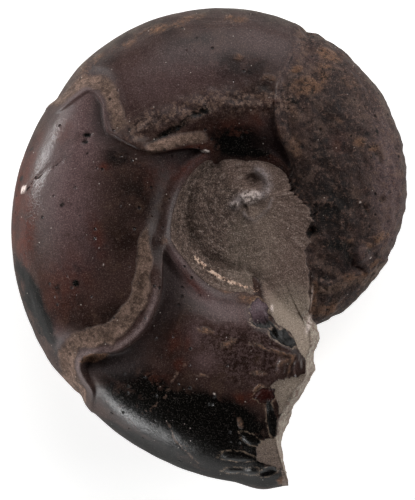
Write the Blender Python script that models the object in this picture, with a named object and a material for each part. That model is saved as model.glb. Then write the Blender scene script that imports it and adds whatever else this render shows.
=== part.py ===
"""Fossil ammonite, the stone mould of a coiled shell, lying on its flank.

The coil is a logarithmic spiral about an upright axis. Every section across the whorl is the same shape
at another size, four sinuous constrictions cross the flanks and the rim, sediment fills the umbilicus,
and the younger end is broken off. Metres, +Z up, origin at the middle of the box's underside.
"""
import math

import bmesh
import bpy
import numpy as np

MM = 0.001

# The spiral: distance from the coil axis to the outer rim at angle 0, and its growth for each radian.
RIM_RADIUS = 16.5 * MM
GROWTH = 0.1195
OLDEST_ANGLE = math.radians(-60)
YOUNGEST_ANGLE = math.radians(290)

# The section across the whorl, as shares of the rim's distance from the axis.
HALF_THICKNESS = 0.305
RIM_ROUNDNESS = 3.2
SHOULDER_DROP = 0.14
WALL_STEEPNESS = 1.1

# The broken end: the line of the break in plan, as distance from the axis and angle, and its lean.
BREAK_RADII = np.array([0.0, 14.8, 16.0, 17.0, 18.7, 20.2, 21.3, 24.2, 27.2, 29.6]) * MM
BREAK_ANGLES = np.radians([300.0, 299.6, 297.8, 294.4, 292.0, 286.9, 283.3, 278.6, 278.3, 278.6])
BREAK_LEAN = math.radians(4)
BREAK_INNER = 14.8 * MM
BREAK_OUTER = 29.6 * MM

# The edge of the umbilicus: where the whorl's shoulder stands, and how far the sediment reaches.
SHOULDER_ANGLES = np.radians([-60, 36, 90, 128, 160, 182, 207, 225, 250, 270, 283, 296])
SHOULDER_SHARES = np.array([0.30, 0.30, 0.25, 0.29, 0.305, 0.32, 0.358, 0.345, 0.355, 0.335, 0.38, 0.55])
SEDIMENT_ANGLES = np.radians([-60, -51, -47, -41, -31, -26, -16, -6, 2, 12, 36])
SEDIMENT_RADII = np.array([12.9, 10.3, 9.5, 8.1, 7.9, 7.0, 7.3, 6.7, 5.6, 4.9, 5.3]) * MM
END_SEDIMENT_RADIUS = 13.1 * MM
SEDIMENT_LEVEL = 4.6 * MM
SEDIMENT_SLOPE = 0.04
SEDIMENT_STEP = 0.28 * MM

# Forms of the sediment on the upper flank, as paths in the coil's plane, in millimetres: a groove that
# follows the wall, and the innermost whorl, which stands up as an arc with a pit above it.
GROOVE_PATH = ((-3.2, 3.7), (-4.6, 3.1), (-5.6, 2.0), (-6.1, 0.7), (-6.2, -0.8), (-6.0, -2.6), (-5.5, -4.3),
               (-4.2, -5.6), (-2.6, -6.5), (-0.9, -7.3), (0.8, -8.0))
INNER_WHORL_PATH = ((1.2, 3.2), (2.0, 2.7), (2.25, 1.7), (1.8, 0.8), (0.5, 0.5), (-0.5, 0.45), (-1.2, -0.3))
PIT_X = 0.65
PIT_Y = 2.15
PIT_RADIUS = 0.9

# The constrictions. Each lip's points: share of the rim's distance, angle in degrees, and how deep the
# step behind the lip is there.
OLDEST_LIP = ((0.30, -41, 0.0), (0.62, -47, 0.1), (0.713, -48.5, 0.3), (0.794, -44, 0.35), (0.83, -37.5, 0.6),
              (0.865, -32.7, 0.8), (0.923, -31, 0.6), (0.949, -27, 0.4), (0.966, -23, 0.3), (1.06, -20, 0.1))
SECOND_LIP = ((0.315, 31, 1.1), (0.335, 41.6, 1.15), (0.378, 58.3, 1.1), (0.411, 64.4, 1.0), (0.45, 68.8, 0.8),
              (0.495, 71.6, 0.6), (0.543, 73.3, 0.35), (0.644, 75, 0.12), (0.716, 74.5, 0.2),
              (0.777, 73.3, 0.25), (0.86, 72.3, 0.2), (0.925, 73.5, 0.1), (1.06, 75.5, 0.1))
THIRD_LIP = ((0.30, 127.5, 1.1), (0.356, 135, 1.15), (0.397, 142.6, 1.05), (0.458, 150.5, 0.7),
             (0.53, 153.5, 0.35), (0.656, 153.3, 0.45), (0.704, 152.8, 0.6), (0.767, 147.7, 0.7),
             (0.80, 145.2, 0.65), (0.85, 143.8, 0.4), (0.887, 144.2, 0.2), (0.914, 149.7, 0.12),
             (0.935, 154, 0.1), (1.06, 156, 0.1))
YOUNGEST_LIP = ((0.37, 207.5, 1.2), (0.403, 215.2, 1.2), (0.447, 222.9, 1.0), (0.504, 228.3, 0.75),
                (0.593, 231.4, 0.5), (0.657, 231.2, 0.55), (0.716, 230.3, 0.8), (0.759, 229.2, 1.1),
                (0.831, 225, 1.7), (0.875, 223.7, 1.6), (0.905, 224.8, 0.8), (0.919, 227.2, 0.4),
                (0.929, 231, 0.25), (1.06, 236, 0.1))
# Each lip, the angle at which it is named, and how strong its relief is.
LIPS = (
    (OLDEST_LIP, math.radians(-36), 0.65),
    (SECOND_LIP, math.radians(72), 0.95),
    (THIRD_LIP, math.radians(150), 1.0),
    (YOUNGEST_LIP, math.radians(228), 1.0),
)
LIP_SAMPLES = 130
LIP_SOFTENING = 5
FURROW_DEPTH = 0.018
FURROW_WIDTH = 0.036
FURROW_SETBACK = 0.068
LIP_HEIGHT = 0.009
LIP_WIDTH = 0.024
RECESS_DEPTH = 0.040
RECESS_LENGTH = 0.110

# How it rests: the plane of the coil leans, because the younger side is the thicker one.
LEAN = math.radians(-5.5)
WORN_FLAT = 0.3 * MM

# The mesh: columns round the coil, columns across the break, rows on the sediment and on the flank.
COLUMNS = 110
BREAK_COLUMNS = 7
UPPER_ROWS = (8, 16)
LOWER_ROWS = (4, 13)

STONE_COLOUR = (0.045, 0.028, 0.024, 1.0)
STONE_ROUGHNESS = 0.42


def smooth_step(value):
    """Ease from 0 to 1 as the value goes from 0 to 1."""
    value = np.clip(value, 0.0, 1.0)
    return value * value * (3.0 - 2.0 * value)


def hill(distance, width):
    """Bell curve: 1 at distance 0, and about a third at one width."""
    return np.exp(-((distance / width) ** 2))


def smooth_max(first, second, blend):
    """The larger of two heights, with a fillet of about the blend's size where they cross."""
    return 0.5 * (first + second + np.sqrt((first - second) ** 2 + blend * blend))


def soft_ramp(value, width):
    """Zero below 0 and the value itself above, rounded over the width."""
    return width * np.logaddexp(0.0, value / width)


def rim_radius(angle):
    """Distance from the axis to the rim: the spiral, a little flatter at 55 degrees, swollen at the break."""
    swelling = 0.016 * hill(angle - math.radians(273), math.radians(3.5))
    flattening = 0.006 * hill(angle - math.radians(55), math.radians(40))
    return RIM_RADIUS * np.exp(GROWTH * angle) * (1.0 + swelling - flattening)


def shoulder_radius(angle):
    """Distance from the axis to the umbilical shoulder."""
    share = np.interp(angle, SHOULDER_ANGLES, SHOULDER_SHARES)
    return share * RIM_RADIUS * np.exp(GROWTH * angle)


def fill_radius(angle):
    """Distance from the axis to the sediment's edge.

    It is the shoulder on most of the coil, it spreads over the oldest stretch, and it runs out to the
    break at the younger end.
    """
    over_oldest = np.interp(angle, SEDIMENT_ANGLES, SEDIMENT_RADII)
    reach = np.where(angle < SEDIMENT_ANGLES[-1], over_oldest, shoulder_radius(angle))
    end_share = smooth_step((angle - math.radians(268)) / math.radians(26))
    return reach + end_share * (END_SEDIMENT_RADIUS - reach)


def break_angle(radius):
    """Angle of the break's upper edge, which stands back from the foot of the leaning face."""
    outline = np.interp(radius, BREAK_RADII, BREAK_ANGLES)
    inward = np.clip((BREAK_OUTER - radius) / (BREAK_OUTER - BREAK_INNER), 0.0, 1.0)
    return outline - BREAK_LEAN * inward


def column_angles():
    """Nominal angles of the columns, closer together at the lips, with one column on each lip."""
    fine = np.linspace(OLDEST_ANGLE, YOUNGEST_ANGLE, 4000)
    density = np.ones_like(fine)
    for _, named_angle, _ in LIPS:
        density += 3.2 * hill(fine - named_angle, math.radians(5.0))
    travelled = np.concatenate([[0.0], np.cumsum(0.5 * (density[1:] + density[:-1]))])
    columns = np.interp(np.linspace(0.0, travelled[-1], COLUMNS), travelled, fine)
    for _, named_angle, _ in LIPS:
        columns[np.abs(columns - named_angle).argmin()] = named_angle
    return columns


def row_places(fill_rows, flank_rows):
    """Place of each row: -1 at the pole, 0 at the sediment's edge and 1 on the rim."""
    fill = np.linspace(-1.0, 0.0, fill_rows + 1)
    flank = np.linspace(0.0, 1.0, flank_rows + 1)[1:]
    return np.concatenate([fill, flank])


def radius_at(place, inner, outer):
    """Distance from the axis of a row, spaced closer towards the rim, where the section turns down."""
    along_fill = inner * (place + 1.0)
    eased = np.sin(0.5 * math.pi * np.clip(place, 0.0, 1.0)) ** 0.9
    return np.where(place < 0.0, along_fill, inner + (outer - inner) * eased)


def path_distance(x, y, path):
    """Distance in millimetres from each point to a run of straight stretches."""
    nearest = np.full_like(x, 1e9)
    for (start_x, start_y), (end_x, end_y) in zip(path, path[1:]):
        run_x, run_y = end_x - start_x, end_y - start_y
        along = ((x - start_x) * run_x + (y - start_y) * run_y) / (run_x * run_x + run_y * run_y)
        along = np.clip(along, 0.0, 1.0)
        nearest = np.minimum(nearest, np.hypot(x - start_x - along * run_x, y - start_y - along * run_y))
    return nearest


def sediment_height(x, y, upper):
    """Height of the fill above the coil's plane: nearly level, and dished on the lower flank."""
    level = SEDIMENT_LEVEL - SEDIMENT_SLOPE * (x + y)
    if not upper:
        return level - 0.5 * MM * hill(np.hypot(x, y), 4.0 * MM)
    x, y = x / MM, y / MM
    groove = 0.42 * hill(path_distance(x, y, GROOVE_PATH), 0.62)
    arc = 0.34 * hill(path_distance(x, y, INNER_WHORL_PATH), 0.42)
    pit = 0.50 * smooth_step((1.25 - np.hypot(x - PIT_X, y - PIT_Y) / PIT_RADIUS) / 0.7)
    return level + (arc - groove - pit) * MM


def whorl_height(angle, radius):
    """Height of the bare flank above the coil's plane, from the umbilical wall to the rim."""
    rim = RIM_RADIUS * np.exp(GROWTH * angle)
    shoulder = shoulder_radius(angle)
    across = np.clip((radius - shoulder) / (rim_radius(angle) - shoulder), 0.0, 1.0)
    dome = np.sqrt(np.clip(1.0 - across ** RIM_ROUNDNESS, 0.0, 1.0))
    inner_drop = 1.0 - SHOULDER_DROP * hill(across, 0.12)
    wall = WALL_STEEPNESS * soft_ramp(shoulder - radius, 0.012 * rim)
    return HALF_THICKNESS * rim * dome * inner_drop - wall


def flank_height(angle, radius, upper):
    """Height of the surface: the whorl, or the sediment where that stands higher."""
    x = radius * np.cos(angle)
    y = radius * np.sin(angle)
    whorl = whorl_height(angle, radius)
    reach = fill_radius(angle)
    fill = sediment_height(x, y, upper)
    inside = smooth_step((reach - radius) / (0.5 * MM))
    oldest = 1.0 - smooth_step((angle - math.radians(10)) / math.radians(30))
    youngest = smooth_step((angle - math.radians(270)) / math.radians(22))
    filled = smooth_max(whorl, fill, 0.25 * MM) + SEDIMENT_STEP * (oldest + youngest)
    rim_side = np.clip((rim_radius(angle) - radius) / (1.2 * MM), 0.0, 1.0)
    return whorl + inside * rim_side * (filled - whorl)


def lip_course(points):
    """Share of the rim's distance, angle and step depth all along a lip.

    The points are joined by straight runs, and then each sample becomes the mean of itself and its
    neighbours a few times, which rounds the corners.
    """
    share, degrees, depth = np.array(points, float).T
    run = np.concatenate([[0.0], np.cumsum(np.hypot(np.diff(share), np.diff(np.radians(degrees)) * 0.8))])
    even = np.linspace(0.0, run[-1], LIP_SAMPLES)
    course = np.stack([np.interp(even, run, line) for line in (share, np.radians(degrees), depth)])
    for _ in range(LIP_SOFTENING):
        course[:, 1:-1] = 0.25 * course[:, :-2] + 0.5 * course[:, 1:-1] + 0.25 * course[:, 2:]
    return course


def distance_ahead(angle, radius, points, named_angle):
    """Distance in front of a lip as a share of the rim's distance, and the step depth of the nearest lip.

    Angle and the logarithm of the radius are a flat map of the coil on which small shapes keep their form,
    so the distance to the lip's line on that map, times the radius, is the distance on the stone.
    """
    share, lip_angle, depth = lip_course(points)
    lip_rise = np.log(share) + GROWTH * lip_angle
    rise = np.log(np.maximum(radius, 0.1 * MM) / RIM_RADIUS)
    nearest = np.full_like(radius, 9.0)
    side = np.where(angle > named_angle, 1.0, -1.0)
    step = np.zeros_like(radius)
    near = np.abs(angle - named_angle) < math.radians(62)
    for first in range(LIP_SAMPLES - 1):
        run_turn = lip_angle[first + 1] - lip_angle[first]
        run_rise = lip_rise[first + 1] - lip_rise[first]
        off_turn = angle - lip_angle[first]
        off_rise = rise - lip_rise[first]
        along = (off_turn * run_turn + off_rise * run_rise) / (run_turn ** 2 + run_rise ** 2)
        along = np.clip(along, 0.0, 1.0)
        distance = np.hypot(off_turn - along * run_turn, off_rise - along * run_rise)
        closer = near & (distance < nearest)
        nearest = np.where(closer, distance, nearest)
        side = np.where(closer, np.sign(off_turn * run_rise - off_rise * run_turn), side)
        step = np.where(closer, depth[first] + along * (depth[first + 1] - depth[first]), step)
    return side * nearest * radius / rim_radius(angle), step


def ornament(angle, radius):
    """Relief of the constrictions, outwards from the surface.

    Going in the direction of growth, each is a shallow furrow, a thin raised lip, and a sharp step down
    into a recess that fades out. The recess is deep at the umbilicus and weak at mid-flank, and the lip
    sinks away where the furrow crosses the rim.
    """
    rim = rim_radius(angle)
    relief = np.zeros_like(radius)
    raised = 1.0 - smooth_step((radius / rim - 0.90) / 0.07)
    for points, named_angle, strength in LIPS:
        ahead, depth = distance_ahead(angle, radius, points, named_angle)
        furrow = -FURROW_DEPTH * hill(ahead + FURROW_SETBACK, FURROW_WIDTH)
        crest = LIP_HEIGHT * np.where(ahead < 0.0, hill(ahead, LIP_WIDTH), hill(ahead, 0.006))
        after = np.maximum(ahead, 0.0)
        fade = np.exp(-after / RECESS_LENGTH) * (1.0 - np.exp(-after / 0.008))
        relief += strength * (furrow + crest * raised) - RECESS_DEPTH * depth * fade
    bare = smooth_step((radius - fill_radius(angle)) / (0.03 * rim))
    return relief * rim * bare


def bend(nominal, share):
    """How far a column of the grid leads its nominal angle at a share of the rim's distance.

    At each lip it follows that lip, and it is blended evenly between one lip and the next and towards
    both ends of the coil.
    """
    knots = [OLDEST_ANGLE] + [named_angle for _, named_angle, _ in LIPS] + [YOUNGEST_ANGLE]
    leads = [np.zeros_like(share)]
    for points, named_angle, _ in LIPS:
        lip_share, lip_angle, _ = lip_course(points)
        leads.append(np.interp(share, lip_share, lip_angle) - named_angle)
    leads.append(np.zeros_like(share))
    result = np.zeros_like(share)
    for index in range(len(knots) - 1):
        part = np.clip((nominal - knots[index]) / (knots[index + 1] - knots[index]), 0.0, 1.0)
        inside = (nominal >= knots[index]) & (nominal < knots[index + 1] + 1e-9)
        mixed = (1.0 - part) * leads[index] + part * leads[index + 1]
        result = np.where(inside, mixed, result)
    return result


def coil_points(fill_rows, flank_rows, upper):
    """Angles and distances of the flank's grid, first along the coil and then across the break."""
    places = row_places(fill_rows, flank_rows)[None, :]
    nominal = column_angles()[:, None] + 0.0 * places
    rough_radius = radius_at(places, fill_radius(nominal), rim_radius(nominal))
    end_share = smooth_step((nominal - math.radians(240)) / math.radians(50))
    towards_break = break_angle(rough_radius) - YOUNGEST_ANGLE
    angle = nominal + bend(nominal, rough_radius / rim_radius(nominal)) + end_share * towards_break
    radius = radius_at(places, fill_radius(angle), rim_radius(angle))
    height = flank_height(angle, radius, upper)

    face_share = np.linspace(0.0, 1.0, BREAK_COLUMNS + 2)[1:-1, None]
    face_radius = (1.0 - face_share) * radius[-1:] + face_share * radius[:1]
    face_height = (1.0 - face_share) * height[-1:] + face_share * height[:1]
    face_angle = break_angle(face_radius) + BREAK_LEAN * face_share
    on_coil = np.concatenate([np.ones_like(radius), np.zeros_like(face_radius)])
    angle = np.concatenate([angle, face_angle])
    radius = np.concatenate([radius, face_radius])
    height = np.concatenate([height, face_height])
    side = 1.0 if upper else -1.0
    points = np.stack([radius * np.cos(angle), radius * np.sin(angle), side * height], axis=-1)
    return points, angle, radius, on_coil


def grid_normals(points):
    """Outward unit normals of a grid that closes on itself along its first axis."""
    along = np.roll(points, -1, axis=0) - np.roll(points, 1, axis=0)
    across = np.gradient(points, axis=1)
    normal = np.cross(across, along)
    return normal / np.maximum(np.linalg.norm(normal, axis=-1, keepdims=True), 1e-12)


def fossil_grid():
    """Points of the whole surface: rows from the upper pole over the rim to the lower pole."""
    upper = coil_points(*UPPER_ROWS, upper=True)
    lower = coil_points(*LOWER_ROWS, upper=False)
    halves = [np.concatenate([top, bottom[:, -2::-1]], axis=1) for top, bottom in zip(upper, lower)]
    points, angle, radius, on_coil = halves
    relief = ornament(angle, radius) * on_coil
    return points + grid_normals(points) * relief[..., None]


def settle(points):
    """Lay the fossil on its lower flank, wear small flats where it touches, centre it over the origin."""
    cos_lean, sin_lean = math.cos(LEAN), math.sin(LEAN)
    about_x = np.array([[1, 0, 0], [0, cos_lean, -sin_lean], [0, sin_lean, cos_lean]])
    points = points @ about_x.T
    lowest = points.reshape(-1, 3).min(axis=0)
    highest = points.reshape(-1, 3).max(axis=0)
    middle = 0.5 * (lowest + highest)
    points = points - np.array([middle[0], middle[1], lowest[2] + WORN_FLAT])
    points[..., 2] = np.maximum(points[..., 2], 0.0)
    return points


def build_mesh(points):
    """Close the grid into one skin: quads between rows, and a fan of triangles at each pole."""
    columns, rows = points.shape[:2]
    skin = bmesh.new()
    top = skin.verts.new(points[0, 0])
    bottom = skin.verts.new(points[0, -1])
    rings = []
    for row in range(1, rows - 1):
        rings.append([skin.verts.new(points[column, row]) for column in range(columns)])
    for column in range(columns):
        following = (column + 1) % columns
        skin.faces.new((top, rings[0][column], rings[0][following]))
        skin.faces.new((bottom, rings[-1][following], rings[-1][column]))
        for upper_ring, lower_ring in zip(rings, rings[1:]):
            corners = (upper_ring[column], lower_ring[column], lower_ring[following], upper_ring[following])
            skin.faces.new(corners)
    bmesh.ops.triangulate(skin, faces=skin.faces[:], quad_method="SHORT_EDGE")
    bmesh.ops.recalc_face_normals(skin, faces=skin.faces[:])
    mesh = bpy.data.meshes.new("ammonite")
    skin.to_mesh(mesh)
    skin.free()
    mesh.shade_smooth()
    mesh.set_sharp_from_angle(angle=math.radians(50))
    return mesh


def stone_material():
    """Dark red-brown stone with a low polish."""
    material = bpy.data.materials.new("dark_stone")
    material.use_nodes = True
    shader = material.node_tree.nodes["Principled BSDF"]
    shader.inputs["Base Color"].default_value = STONE_COLOUR
    shader.inputs["Roughness"].default_value = STONE_ROUGHNESS
    shader.inputs["Metallic"].default_value = 0.0
    return material


for old in list(bpy.data.objects):
    bpy.data.objects.remove(old)

ammonite = bpy.data.objects.new("ammonite", build_mesh(settle(fossil_grid())))
ammonite.data.materials.append(stone_material())
bpy.context.scene.collection.objects.link(ammonite)
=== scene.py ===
import math
from math import radians

import bpy
import numpy as np
from mathutils import Matrix, Vector


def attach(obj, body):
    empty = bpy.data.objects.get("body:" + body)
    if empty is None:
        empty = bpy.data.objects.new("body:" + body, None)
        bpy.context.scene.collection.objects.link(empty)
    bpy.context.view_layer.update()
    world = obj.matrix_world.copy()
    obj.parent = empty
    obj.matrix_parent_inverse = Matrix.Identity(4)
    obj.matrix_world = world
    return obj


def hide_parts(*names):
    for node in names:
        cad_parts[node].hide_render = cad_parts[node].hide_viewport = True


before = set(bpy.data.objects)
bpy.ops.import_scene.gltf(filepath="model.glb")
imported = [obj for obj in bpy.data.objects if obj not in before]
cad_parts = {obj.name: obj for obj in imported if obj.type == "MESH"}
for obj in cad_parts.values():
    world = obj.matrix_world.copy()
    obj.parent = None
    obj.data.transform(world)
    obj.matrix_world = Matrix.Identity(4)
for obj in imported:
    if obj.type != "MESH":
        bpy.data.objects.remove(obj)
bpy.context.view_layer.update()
scene = bpy.context.scene

# The ammonite: the law of its coil.
# The real piece is one rock, the mould of a coiled shell in dark, iron-stained mudstone. The shell grew
# as a logarithmic spiral, so each section across the whorl is the same shape at another size.
MM = 0.001
RIM_RADIUS = 16.5 * MM
GROWTH = 0.1195
OLDEST_ANGLE = radians(-60)
YOUNGEST_ANGLE = radians(290)
HALF_THICKNESS = 0.305
RIM_ROUNDNESS = 3.2
SHOULDER_DROP = 0.14
WALL_STEEPNESS = 1.1
SHOULDER_ANGLES = np.radians([-60, 36, 90, 128, 160, 182, 207, 225, 250, 270, 283, 296])
SHOULDER_SHARES = np.array([0.30, 0.30, 0.25, 0.29, 0.305, 0.32, 0.358, 0.345, 0.355, 0.335, 0.38, 0.55])


def smooth_step(value):
    """Ease from 0 to 1 as the value goes from 0 to 1."""
    value = np.clip(value, 0.0, 1.0)
    return value * value * (3.0 - 2.0 * value)


def hill(distance, width):
    """Bell curve: 1 at distance 0, and about a third at one width."""
    return np.exp(-((distance / width) ** 2))


def smooth_max(first, second, blend):
    """The larger of two heights, with a fillet of about the blend's size where they cross."""
    return 0.5 * (first + second + np.sqrt((first - second) ** 2 + blend * blend))


def soft_ramp(value, width):
    """Zero below 0 and the value itself above, rounded over the width."""
    return width * np.logaddexp(0.0, value / width)


def rim_radius(angle):
    """Distance from the axis to the rim: the spiral, a little flatter at 55 degrees, swollen at the break."""
    swelling = 0.016 * hill(angle - radians(273), radians(3.5))
    flattening = 0.006 * hill(angle - radians(55), radians(40))
    return RIM_RADIUS * np.exp(GROWTH * angle) * (1.0 + swelling - flattening)


def shoulder_radius(angle):
    """Distance from the axis to the umbilical shoulder: a share of the spiral, eased between angles."""
    share = np.interp(angle, SHOULDER_ANGLES, SHOULDER_SHARES)
    return share * RIM_RADIUS * np.exp(GROWTH * angle)


def place_across(angle, radius):
    """Place across the flank: 0 at the umbilical shoulder and 1 on the rim."""
    shoulder = shoulder_radius(angle)
    return (radius - shoulder) / (rim_radius(angle) - shoulder)


def whorl_height(angle, radius):
    """Height of the bare flank above the coil's plane.

    Outwards it is a flattened dome, the square root of 1 minus the place across to a power. It drops a
    little at the shoulder and then falls as a steep wall into the umbilicus.
    """
    rim = RIM_RADIUS * np.exp(GROWTH * angle)
    across = np.clip(place_across(angle, radius), 0.0, 1.0)
    dome = np.sqrt(np.clip(1.0 - across ** RIM_ROUNDNESS, 0.0, 1.0))
    inner_drop = 1.0 - SHOULDER_DROP * hill(across, 0.12)
    wall = WALL_STEEPNESS * soft_ramp(shoulder_radius(angle) - radius, 0.012 * rim)
    return HALF_THICKNESS * rim * dome * inner_drop - wall


# The sediment in the umbilicus.
# Grey-brown, finely granular mud that set hard in the hollow middle. It is nearly level, spreads over the
# oldest stretch of the flank with a ragged edge, and shows the crusted tip of the innermost whorl.
SEDIMENT_ANGLES = np.radians([-60, -51, -47, -41, -31, -26, -16, -6, 2, 12, 36])
SEDIMENT_RADII = np.array([12.9, 10.3, 9.5, 8.1, 7.9, 7.0, 7.3, 6.7, 5.6, 4.9, 5.3]) * MM
END_SEDIMENT_RADIUS = 13.1 * MM
SEDIMENT_LEVEL = 4.6 * MM
SEDIMENT_SLOPE = 0.04
SEDIMENT_STEP = 0.28 * MM

# Paths on the upper side are in the coil's plane, in millimetres.
GROOVE_PATH = ((-3.2, 3.7), (-4.6, 3.1), (-5.6, 2.0), (-6.1, 0.7), (-6.2, -0.8), (-6.0, -2.6), (-5.5, -4.3),
               (-4.2, -5.6), (-2.6, -6.5), (-0.9, -7.3), (0.8, -8.0))
INNER_WHORL_PATH = ((1.2, 3.2), (2.0, 2.7), (2.25, 1.7), (1.8, 0.8), (0.5, 0.5), (-0.5, 0.45), (-1.2, -0.3))
INNER_RING_PATH = ((2.6, 0.3), (2.3, -0.6), (1.65, -1.3), (0.9, -1.85), (0.1, -1.65), (-0.25, -1.1))


def path_distance(x, y, path):
    """Distance in millimetres from each point to a run of straight stretches."""
    nearest = np.full_like(x, 1e9)
    for (start_x, start_y), (end_x, end_y) in zip(path, path[1:]):
        run_x, run_y = end_x - start_x, end_y - start_y
        along = ((x - start_x) * run_x + (y - start_y) * run_y) / (run_x * run_x + run_y * run_y)
        along = np.clip(along, 0.0, 1.0)
        nearest = np.minimum(nearest, np.hypot(x - start_x - along * run_x, y - start_y - along * run_y))
    return nearest


def oval(x, y, middle_x, middle_y, half_length, half_width, turn):
    """Distance from an oval's middle in its own sizes: 1 on its edge. The turn is in degrees."""
    cos_turn, sin_turn = math.cos(radians(turn)), math.sin(radians(turn))
    along = ((x - middle_x) * cos_turn + (y - middle_y) * sin_turn) / half_length
    aside = ((y - middle_y) * cos_turn - (x - middle_x) * sin_turn) / half_width
    return np.hypot(along, aside)


def fill_radius(angle):
    """Distance from the axis to the sediment's edge: the shoulder, or further at both ends of the coil."""
    over_oldest = np.interp(angle, SEDIMENT_ANGLES, SEDIMENT_RADII)
    reach = np.where(angle < SEDIMENT_ANGLES[-1], over_oldest, shoulder_radius(angle))
    end_share = smooth_step((angle - radians(268)) / radians(26))
    ragged = np.sin(41.0 * angle) + 0.7 * np.sin(67.0 * angle + 1.0) + 0.6 * np.sin(113.0 * angle + 2.0)
    ragged *= 0.11 * MM * (1.0 - smooth_step((angle - radians(10)) / radians(30)))
    return reach + ragged + end_share * (END_SEDIMENT_RADIUS - reach)


def sediment_height(x, y, upper):
    """Height of the fill above the coil's plane.

    It is a gently sloping plane. On the upper side a groove follows the wall, and in the middle the
    innermost whorl stands up as a crusted arc, with a pit above it and a thin ring below.
    """
    level = SEDIMENT_LEVEL - SEDIMENT_SLOPE * (x + y)
    if not upper:
        return level - 0.5 * MM * hill(np.hypot(x, y), 4.0 * MM)
    x, y = x / MM, y / MM
    groove = 0.42 * hill(path_distance(x, y, GROOVE_PATH), 0.62)
    arc = 0.34 * hill(path_distance(x, y, INNER_WHORL_PATH), 0.42)
    ring = 0.16 * hill(path_distance(x, y, INNER_RING_PATH), 0.17)
    pit = 0.50 * smooth_step((1.25 - oval(x, y, 0.65, 2.15, 0.95, 0.75, 20)) / 0.7)
    hollow = 0.20 * smooth_step((1.2 - oval(x, y, 0.9, -0.55, 1.2, 0.7, 20)) / 0.8)
    return level + (arc + ring - groove - pit - hollow) * MM


def surface_height(angle, radius, upper):
    """Height of the surface, and how far it is sediment: the whorl, or the fill where that is higher."""
    whorl = whorl_height(angle, radius)
    reach = fill_radius(angle)
    fill = sediment_height(radius * np.cos(angle), radius * np.sin(angle), upper)
    inside = smooth_step((reach - radius) / (0.5 * MM))
    oldest = 1.0 - smooth_step((angle - radians(10)) / radians(30))
    youngest = smooth_step((angle - radians(270)) / radians(22))
    filled = smooth_max(whorl, fill, 0.25 * MM) + SEDIMENT_STEP * (oldest + youngest)
    rim_side = np.clip((rim_radius(angle) - radius) / (1.2 * MM), 0.0, 1.0)
    height = whorl + inside * rim_side * (filled - whorl)
    on_top = smooth_step((fill - whorl + 0.05 * MM) / (0.3 * MM))
    sediment = inside * np.maximum(on_top, np.maximum(oldest, youngest))
    return height, sediment


# The constrictions.
# Four sinuous furrows where the growing shell paused. Each has a filled furrow on its older side, a lip,
# and a sharp step down on its younger side, deepest at the umbilicus. They are part of the mould.
#
# Each lip's points: share of the rim's distance, angle in degrees, and how deep the step is there.
OLDEST_LIP = ((0.30, -41, 0.0), (0.62, -47, 0.1), (0.713, -48.5, 0.3), (0.794, -44, 0.35),
              (0.83, -37.5, 0.6), (0.865, -32.7, 0.8), (0.923, -31, 0.6), (0.949, -27, 0.4),
              (0.966, -23, 0.3), (1.06, -20, 0.1))
SECOND_LIP = ((0.315, 31, 1.1), (0.335, 41.6, 1.15), (0.378, 58.3, 1.1), (0.411, 64.4, 1.0),
              (0.45, 68.8, 0.8), (0.495, 71.6, 0.6), (0.543, 73.3, 0.35), (0.644, 75, 0.12),
              (0.716, 74.5, 0.2), (0.777, 73.3, 0.25), (0.86, 72.3, 0.2), (0.925, 73.5, 0.1),
              (1.06, 75.5, 0.1))
THIRD_LIP = ((0.30, 127.5, 1.1), (0.356, 135, 1.15), (0.397, 142.6, 1.05), (0.458, 150.5, 0.7),
             (0.53, 153.5, 0.35), (0.656, 153.3, 0.45), (0.704, 152.8, 0.6), (0.767, 147.7, 0.7),
             (0.80, 145.2, 0.65), (0.85, 143.8, 0.4), (0.887, 144.2, 0.2), (0.914, 149.7, 0.12),
             (0.935, 154, 0.1), (1.06, 156, 0.1))
YOUNGEST_LIP = ((0.37, 207.5, 1.2), (0.403, 215.2, 1.2), (0.447, 222.9, 1.0), (0.504, 228.3, 0.75),
                (0.593, 231.4, 0.5), (0.657, 231.2, 0.55), (0.716, 230.3, 0.8), (0.759, 229.2, 1.1),
                (0.831, 225, 1.7), (0.875, 223.7, 1.6), (0.905, 224.8, 0.8), (0.919, 227.2, 0.4),
                (0.929, 231, 0.25), (1.06, 236, 0.1))
# Each lip, the angle at which it is named, how strong its furrow and its raised edge are, how much mud is in
# the furrow and from which share of the rim's distance on, and how wide the bare slope behind the edge is.
LIPS = (
    (OLDEST_LIP, radians(-36), 0.65, 0.2, 0.70, 0.72, 0.008),
    (SECOND_LIP, radians(72), 0.95, 0.25, 0.35, 0.50, 0.012),
    (THIRD_LIP, radians(150), 1.0, 0.7, 0.70, 0.60, 0.006),
    (YOUNGEST_LIP, radians(228), 1.0, 0.6, 1.00, 0.38, 0.036),
)
LIP_SAMPLES = 130
LIP_SOFTENING = 5
FURROW_DEPTH = 0.018
FURROW_WIDTH = 0.036
FURROW_SETBACK = 0.068
LIP_HEIGHT = 0.009
LIP_WIDTH = 0.018
RECESS_DEPTH = 0.040
RECESS_LENGTH = 0.110


def lip_course(points):
    """Share of the rim's distance, angle and step depth all along a lip.

    The points are joined by straight runs, and then each sample becomes the mean of itself and its
    neighbours a few times, which rounds the corners.
    """
    share, degrees, depth = np.array(points, float).T
    run = np.concatenate([[0.0], np.cumsum(np.hypot(np.diff(share), np.diff(np.radians(degrees)) * 0.8))])
    even = np.linspace(0.0, run[-1], LIP_SAMPLES)
    course = np.stack([np.interp(even, run, line) for line in (share, np.radians(degrees), depth)])
    for _ in range(LIP_SOFTENING):
        course[:, 1:-1] = 0.25 * course[:, :-2] + 0.5 * course[:, 1:-1] + 0.25 * course[:, 2:]
    return course


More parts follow.
